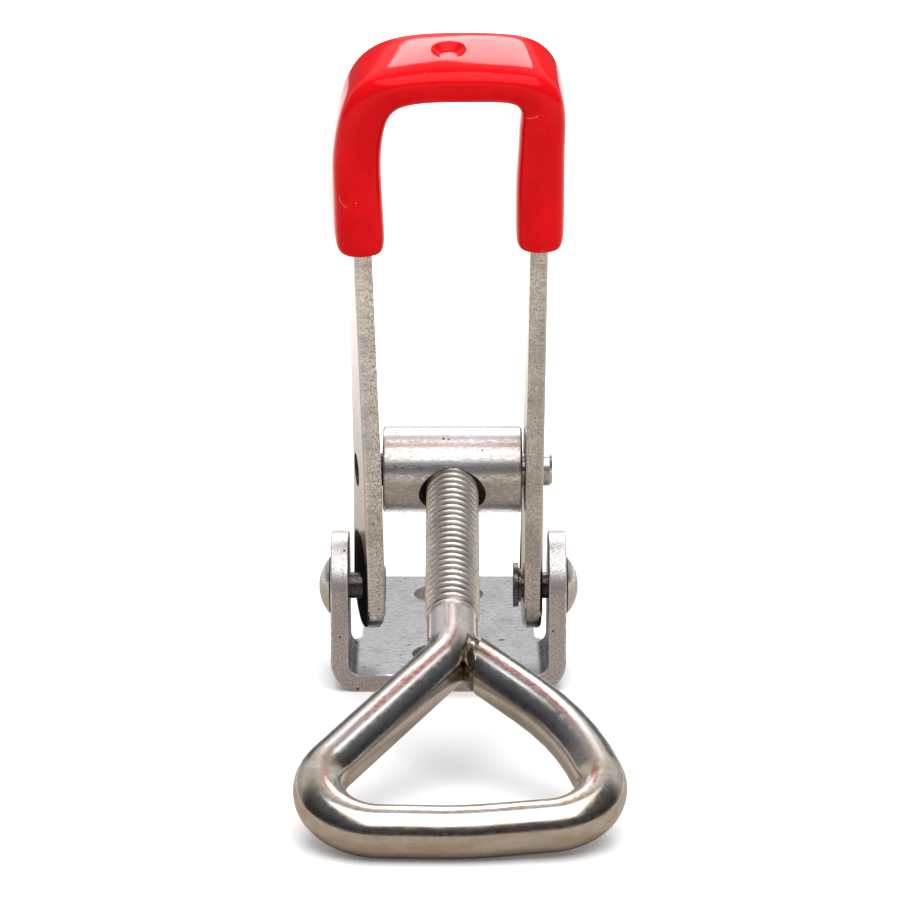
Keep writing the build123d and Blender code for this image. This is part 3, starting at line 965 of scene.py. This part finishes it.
# ------------------------------------------------------------------ hook
# One stainless wire.  Its shank is threaded by rolling, so that the thread stands proud of the
# wire, and runs through the barrel; the rest is bent to a closed loop, whose end is cut off at a
# slant and welded back to the shank.
wire_radius = 2.69
wire_sides = 40
thread_outer = 2.95
thread_root = 2.5
pitch = 1.0
rings_per_turn = 10
thread_start = -barrel_radius
thread_end = 28.3
thread_lead = 0.8
thread_runout = 1.6
butt_reach = 32.5
butt_gap = 0.7
butt_drop = 0.8
# The loop's corners, across the shank and along it, and the radii of its bends
loop_corners = [(0, 34), (-19, 61.7), (1.1, 62.2), (16.6, 60.3), (12.8, 46.7), (0, butt_reach)]
loop_radii = [6.4, 6.4, 40, 5.9, 30, 0]
bead_size = (1.65, 2.45, 3.5)
bead_turn = 12
# Where the last straight's long faces end along the shank, and how big they and the bead's are, in m2
long_reach = 42
long_face = 2.0e-6
bead_face = 0.6e-6


def bend_wire(corners, radii):
    """Draws the wire on over its corners, each one bent to its radius, flat in the XY plane."""
    here = Vector((0, -thread_end, 0))
    places = [Vector((x, -reach, 0)) for x, reach in corners]
    for number, (corner, radius) in enumerate(zip(places, radii)):
        run = corner - here
        heading = run.normalized()
        if radius == 0:
            bpy.ops.mesh.extrude_region_move(TRANSFORM_OT_translate={"value": run * mm})
            return
        onward = (places[number + 1] - corner).normalized()
        turn = math.atan2(heading.x * onward.y - heading.y * onward.x, heading.dot(onward))
        tangent = radius * math.tan(abs(turn) / 2)
        bend_start = corner - heading * tangent
        bpy.ops.mesh.extrude_region_move(TRANSFORM_OT_translate={"value": (bend_start - here) * mm})
        side = Vector((-heading.y, heading.x, 0)) * math.copysign(1, turn)
        steps = max(4, round(math.degrees(abs(turn)) / 5))
        bend_middle = (bend_start + side * radius) * mm
        bpy.ops.mesh.spin(steps=steps, angle=-turn, center=bend_middle, axis=(0, 0, 1))
        here = corner + onward * tangent


deselect()
bpy.ops.mesh.primitive_circle_add(
    vertices=wire_sides, radius=wire_radius * mm, fill_type="NGON", rotation=(math.pi / 2, 0, 0)
)
bpy.ops.object.transform_apply(location=True, rotation=True, scale=True)
hook = bpy.context.object
edit(hook)
bpy.ops.mesh.select_all(action="SELECT")
bpy.ops.transform.translate(value=(0, -thread_start * mm, 0))
threaded_run = thread_end - thread_start
for ring in range(math.ceil(threaded_run / pitch * rings_per_turn)):
    step = min(pitch / rings_per_turn, threaded_run - ring * pitch / rings_per_turn)
    bpy.ops.mesh.extrude_region_move(TRANSFORM_OT_translate={"value": (0, -step * mm, 0)})
bend_wire(loop_corners, loop_radii)
leave()


def thread_radius(reach, angle):
    """How far the threaded shank's skin stands from its axis, at a reach and an angle round it."""
    phase = (reach / pitch + angle / (2 * math.pi)) % 1
    crest = 0.5 + 0.5 * math.cos(2 * math.pi * phase)
    rise = thread_root + (thread_outer - thread_root) * crest**0.8
    fade_out = min(1, max(0, (thread_end - reach) / thread_runout))
    fade_in = min(1, max(0, (reach - thread_start) / thread_lead))
    end_chamfer = 0.5 * max(0, 0.5 + thread_start - reach)
    return wire_radius + (rise - wire_radius) * fade_out * fade_in - end_chamfer


def on_shank(place):
    """A corner of the threaded shank's skin, not of its end's middle nor of the loop."""
    off_axis = math.hypot(place.x, place.z)
    return -place.y < thread_end + 0.01 and abs(place.x) < thread_outer and off_axis > 1


edit(hook, "VERT")
wire = bmesh.from_edit_mesh(hook.data)
for corner in wire.verts:
    if on_shank(corner.co / mm):
        angle = math.atan2(corner.co.z, corner.co.x)
        skin = thread_radius(-corner.co.y / mm, angle) / wire_radius
        corner.co.x *= skin
        corner.co.z *= skin
bmesh.update_edit_mesh(hook.data)


def last_straight(at, face):
    """The long faces of the wire's last straight, which the slanting cut goes through."""
    on_straight = -long_reach < at.y < nearly - butt_reach and at.x > -1
    return on_straight and face.calc_area() > long_face


cut_tilt = math.radians(9.5)
pick("FACE", last_straight)
bpy.ops.mesh.bisect(
    plane_co=Vector((wire_radius + butt_gap, butt_drop - butt_reach, 0)) * mm,
    plane_no=Vector((math.cos(cut_tilt), -math.sin(cut_tilt), 0)),
    use_fill=True,
    clear_inner=True,
)
bpy.ops.mesh.select_all(action="SELECT")
bpy.ops.mesh.normals_make_consistent(inside=False)
leave()
deselect()
along_y = (math.pi / 2, 0, 0)
bpy.ops.mesh.primitive_uv_sphere_add(segments=32, ring_count=24, radius=1 * mm, rotation=along_y)
bead = bpy.context.object
bead.scale = bead_size
bpy.ops.object.transform_apply(location=True, rotation=True, scale=True)
edit(bead, "VERT")
bead_skin = bmesh.from_edit_mesh(bead.data)
for corner in bead_skin.verts:
    ripple = 1 + 0.05 * math.sin(corner.co.y / mm * 7) + 0.03 * math.sin(corner.co.z / mm * 5 + 1)
    corner.co.x *= ripple
    corner.co.z *= ripple
bmesh.update_edit_mesh(bead.data)
bpy.ops.mesh.select_all(action="SELECT")
twist_end(bead_turn, "Z", (0, 0, 0))
bead_centre = Vector((2.3, -butt_reach - 2.9, 0))
bpy.ops.transform.translate(value=bead_centre * mm)
bpy.ops.mesh.normals_make_consistent(inside=False)
leave()
join_shapes(hook, bead, "UNION")
hook.location = shank_centre * mm
hook.rotation_euler = (droop, 0, 0)


def in_latch(along_wire):
    """A place that was given in the hook's own frame, now in the latch's."""
    return shank_centre + Matrix.Rotation(droop, 3, "X") @ Vector(along_wire)


def welded_wire():
    """Drawn wire, scorched brown round the weld and stained in streaks along the loop's bar."""
    material = steel(
        "wire_steel",
        (0.62, 0.59, 0.56),
        shine=0.2,
        grain=2.0,
        contrast=0.05,
        depth=0.002,
        pit_share=0.05,
        stain=0.3,
    )
    place = place_of(material)
    weld_place = in_latch((2.6, -butt_reach - 3.0, 1.2)) * mm
    from_weld = vector_of(material, "DISTANCE", place, tuple(weld_place))
    away = math_of(material, "MULTIPLY_ADD", noise(material, place, 0.6), 2.5 * mm, from_weld)
    scorch = spread(material, away, 3.0 * mm, 5.6 * mm, 0.7, 0.0)
    tint = mix_colour(material, scorch, tint_of(material), (0.36, 0.31, 0.25))
    at_bar = spread(material, split_place(material, place)["Y"], -68 * mm, -62 * mm, 1.0, 0.0)
    streaks = spread(material, noise(material, place, 0.45, 4.0, (0.35, 1, 1.6)), 0.38, 0.66, 0.15, 0.85)
    stained = math_of(material, "MULTIPLY", at_bar, streaks)
    recolour(material, mix_colour(material, stained, tint, (0.50, 0.40, 0.29)))
    return material


def worn_thread():
    """The rolled thread: bright worn crests over grooves that are brown with old oil."""
    material = steel(
        "rolled_thread",
        (0.74, 0.70, 0.645),
        shine=0.36,
        grain=3.0,
        contrast=0.2,
        depth=0.008,
        pit_share=0.0,
        stain=0.5,
        metal=0.85,
    )
    place = place_of(material)
    from_centre = vector_of(material, "SUBTRACT", place, tuple(shank_centre * mm))
    off_axis = vector_of(material, "CROSS_PRODUCT", from_centre, tuple(shank_forward))
    height = vector_of(material, "LENGTH", off_axis)
    oily = spread(material, height, (thread_root + 0.04) * mm, (thread_outer - 0.14) * mm, 1.0, 0.0)
    patchy = spread(material, noise(material, place, 0.35), 0.3, 0.7, 0.55, 1.0)
    oiled = math_of(material, "MULTIPLY", oily, patchy)
    recolour(material, mix_colour(material, oiled, tint_of(material), (0.15, 0.105, 0.065)))
    return material


def on_bead(at, face):
    """The weld bead's skin: small faces about as far from its middle as the bead is big."""
    offset = Matrix.Rotation(math.radians(-bead_turn), 3, "Z") @ (at - bead_centre)
    level = math.hypot(offset.x / bead_size[0], offset.y / bead_size[2], offset.z / bead_size[1])
    return abs(level - 1) < 0.12 and face.calc_area() < bead_face


wire_steel = welded_wire()
rolled_thread = worn_thread()
weld_bead = steel(
    "weld_bead",
    (0.23, 0.19, 0.14),
    shine=0.2,
    grain=0.8,
    contrast=0.45,
    depth=0.10,
    pit_share=0.1,
    stain=0.5,
)
add_slots(hook, 3)
edit(hook)
pick("FACE", lambda at, face: at.y > -thread_end and abs(at.x) < 3)
paint(1)
pick("FACE", on_bead)
paint(2)
leave()
finish_piece(hook, "hook", [wire_steel, rolled_thread, weld_bead], "hook", smooth=40)


# ------------------------------------------------------------------ studio
# A pale floor that runs out of sight and keeps the latch's shadow, soft boxes overhead and behind
# in a dim room, and the camera straight in front, looking a little down.
deselect()
bpy.ops.mesh.primitive_plane_add(size=6, location=(0, 0, 0))
floor = bpy.context.object
floor.name = "floor"

pale = shaded("pale_floor", 0.0)
nodes, links = pale.node_tree.nodes, pale.node_tree.links
nodes["Principled BSDF"].inputs["Roughness"].default_value = 0.9
away = node_value(pale, "ShaderNodeVectorMath", "DISTANCE", place_of(pale), (0, -0.04, 0))
rays = nodes.new("ShaderNodeLightPath")
mirrored = rays.outputs["Is Glossy Ray"]
far = spread(pale, away, 0.07, 0.25)
own = mix_colour(pale, rays.outputs["Is Camera Ray"], (0.66, 0.66, 0.66), (0.97, 0.975, 0.985))
own = mix_colour(pale, mirrored, own, (0.45, 0.39, 0.33))
links.new(own, nodes["Principled BSDF"].inputs["Base Color"])
seen = math_of(pale, "MULTIPLY", rays.outputs["Is Camera Ray"], spread(pale, away, 0.06, 0.22, 0.08, 1.0))
level = math_of(pale, "MULTIPLY_ADD", mirrored, math_of(pale, "MULTIPLY", far, 0.85), seen)
glow = nodes.new("ShaderNodeEmission")
links.new(level, glow.inputs["Strength"])
both = nodes.new("ShaderNodeAddShader")
links.new(nodes["Principled BSDF"].outputs["BSDF"], both.inputs[0])
links.new(glow.outputs["Emission"], both.inputs[1])
links.new(both.outputs["Shader"], nodes["Material Output"].inputs["Surface"])
floor.data.materials.append(pale)


def soft_box(name, size, at, towards, strength, shape="RECTANGLE"):
    """A flat soft lamp of a width and a height in metres, turned towards a place."""
    lamp = bpy.data.lights.new(name, "AREA")
    lamp.shape = shape
    lamp.size, lamp.size_y = size
    lamp.energy = strength
    holder = bpy.data.objects.new(name, lamp)
    bpy.context.collection.objects.link(holder)
    holder.location = at
    holder.rotation_euler = (Vector(towards) - Vector(at)).to_track_quat("-Z", "Y").to_euler()
    return holder


middle = (0, -0.02, 0.035)
soft_box("overhead_box", (0.92, 1.06), (0.06, -0.32, 0.9), middle, 9.2)
soft_box("rear_box", (0.46, 0.36), (0.025, 0.72, 0.72), middle, 2.9, "ELLIPSE")

world = bpy.data.worlds.new("studio")
bpy.context.scene.world = world
world.use_nodes = True
nodes, links = world.node_tree.nodes, world.node_tree.links
axes = split_place(world, nodes.new("ShaderNodeTexCoord").outputs["Generated"])
behind = spread(world, axes["Y"], 0.25, 0.55)
sideways = math_of(world, "ABSOLUTE", axes["X"])
flag_inside = spread(world, sideways, 0.13, 0.19)
flag_outside = spread(world, sideways, 0.44, 0.52, 1.0, 0.0)
flag = math_of(world, "MULTIPLY", flag_inside, flag_outside)
flag = math_of(world, "MULTIPLY", flag, spread(world, axes["Z"], 0.44, 0.54, 0.82, 0.0))
lit_wall = math_of(world, "MULTIPLY", behind, math_of(world, "SUBTRACT", 1.0, flag))
dim_rise = spread(world, axes["Z"], 0.2, 0.8)
dim_wall = mix_colour(world, dim_rise, (0.03, 0.034, 0.042), (0.10, 0.105, 0.12))
bright_rise = spread(world, axes["Z"], 0.30, 0.50)
bright_wall = mix_colour(world, bright_rise, (0.56, 0.57, 0.60), (0.88, 0.87, 0.86))
room = mix_colour(world, lit_wall, dim_wall, bright_wall)
rays = nodes.new("ShaderNodeLightPath")
lit = mix_colour(world, rays.outputs["Is Glossy Ray"], (0.55, 0.55, 0.55), room)
seen = mix_colour(world, rays.outputs["Is Camera Ray"], lit, (1.0, 1.0, 1.0))
links.new(seen, nodes["Background"].inputs["Color"])

lens = bpy.data.cameras.new("camera")
lens.lens = 151.99
lens.sensor_width = 36
camera = bpy.data.objects.new("camera", lens)
bpy.context.collection.objects.link(camera)
camera.location = (0.000168, -0.42962, 0.13443)
camera.rotation_euler = (math.radians(75.474), 0, 0)
bpy.context.scene.camera = camera
bpy.context.scene.view_settings.view_transform = "Standard"
